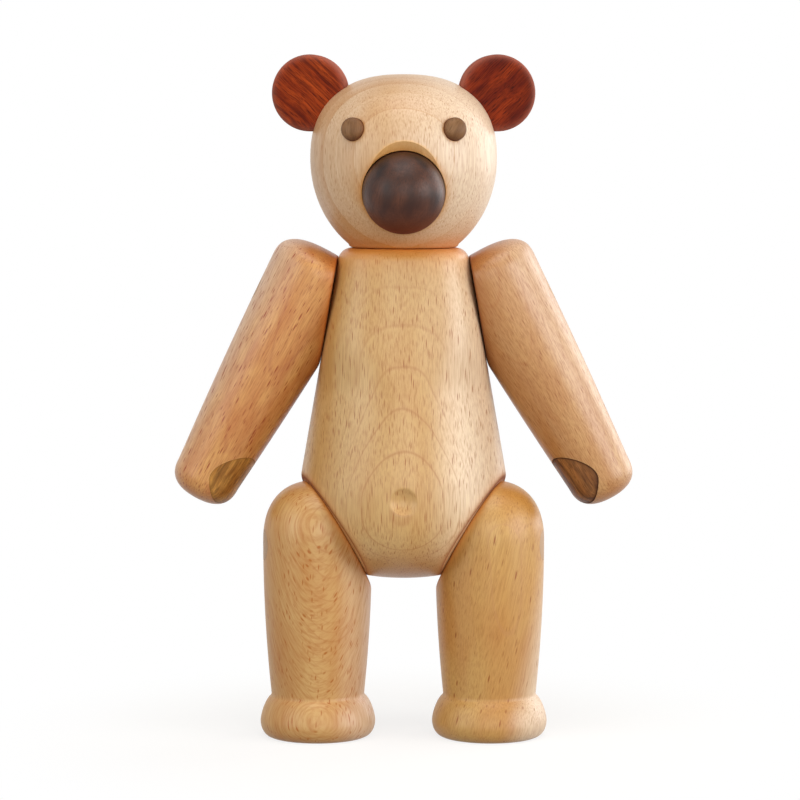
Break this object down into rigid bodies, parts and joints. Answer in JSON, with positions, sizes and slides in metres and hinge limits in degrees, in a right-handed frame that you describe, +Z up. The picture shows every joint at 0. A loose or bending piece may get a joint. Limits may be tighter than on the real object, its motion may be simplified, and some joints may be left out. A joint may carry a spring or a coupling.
{
  "type": "wooden bear puppet",
  "caption": "Turned wooden bear with round ears, ball nose and bun feet, whose head, arms and legs are strung on elastic cord so that they turn and stay posed.",
  "frame": {"origin": "on the ground under the middle of the bear's box, standing", "axes": "+Z up, -Y the way the bear faces, +X the bear's own left"},
  "size_m": [0.1014, 0.0494, 0.15],
  "materials": {
    "beech": "oiled, sanded smooth",
    "beech_dowel": "end grain, oiled",
    "red_wood": "oiled",
    "walnut": "oiled satin",
    "paw_walnut": "end grain, oiled",
    "elastic_cord": "braided over rubber",
    "steel": "zinc plated"
  },
  "bodies": {
    "torso": {"torso": "beech", "seat_plug": "beech_dowel", "seat_washer": "steel", "neck_cord": "elastic_cord", "shoulder_cord": "elastic_cord", "hip_cord": "elastic_cord"},
    "head": {"head": "beech", "ear_left": "red_wood", "ear_right": "red_wood", "eye_left": "walnut", "eye_right": "walnut", "nose": "walnut"},
    "arm_left": {"arm_left": "beech", "paw_pad_left": "paw_walnut", "shoulder_plug_left": "beech_dowel", "shoulder_washer_left": "steel"},
    "arm_right": {"arm_right": "beech", "paw_pad_right": "paw_walnut", "shoulder_plug_right": "beech_dowel", "shoulder_washer_right": "steel"},
    "leg_left": {"leg_left": "beech", "hip_plug_left": "beech_dowel", "hip_washer_left": "steel"},
    "leg_right": {"leg_right": "beech", "hip_plug_right": "beech_dowel", "hip_washer_right": "steel"}
  },
  "joints": [
    {"name": "neck_turn", "type": "hinge", "parent": "torso", "child": "head", "pos_m": [0, 0.0017, 0.1077], "axis": [0, 0, 1], "range_deg": [-180, 180]},
    {"name": "shoulder_left", "type": "hinge", "parent": "torso", "child": "arm_left", "pos_m": [0.01603, 0.0017, 0.0961], "axis": [0.9853, 0, 0.1711], "range_deg": [-120, 120]},
    {"name": "hip_left", "type": "hinge", "parent": "torso", "child": "leg_left", "pos_m": [0.0178, -0.00208, 0.0505], "axis": [0.8384, -0.1782, -0.515], "range_deg": [-120, 85]},
    {"name": "shoulder_right", "type": "hinge", "parent": "torso", "child": "arm_right", "pos_m": [-0.01603, 0.0017, 0.0961], "axis": [-0.9853, 0, 0.1711], "range_deg": [-120, 120]},
    {"name": "hip_right", "type": "hinge", "parent": "torso", "child": "leg_right", "pos_m": [-0.0178, -0.00208, 0.0505], "axis": [-0.8384, -0.1782, -0.515], "range_deg": [-85, 120]}
  ]
}
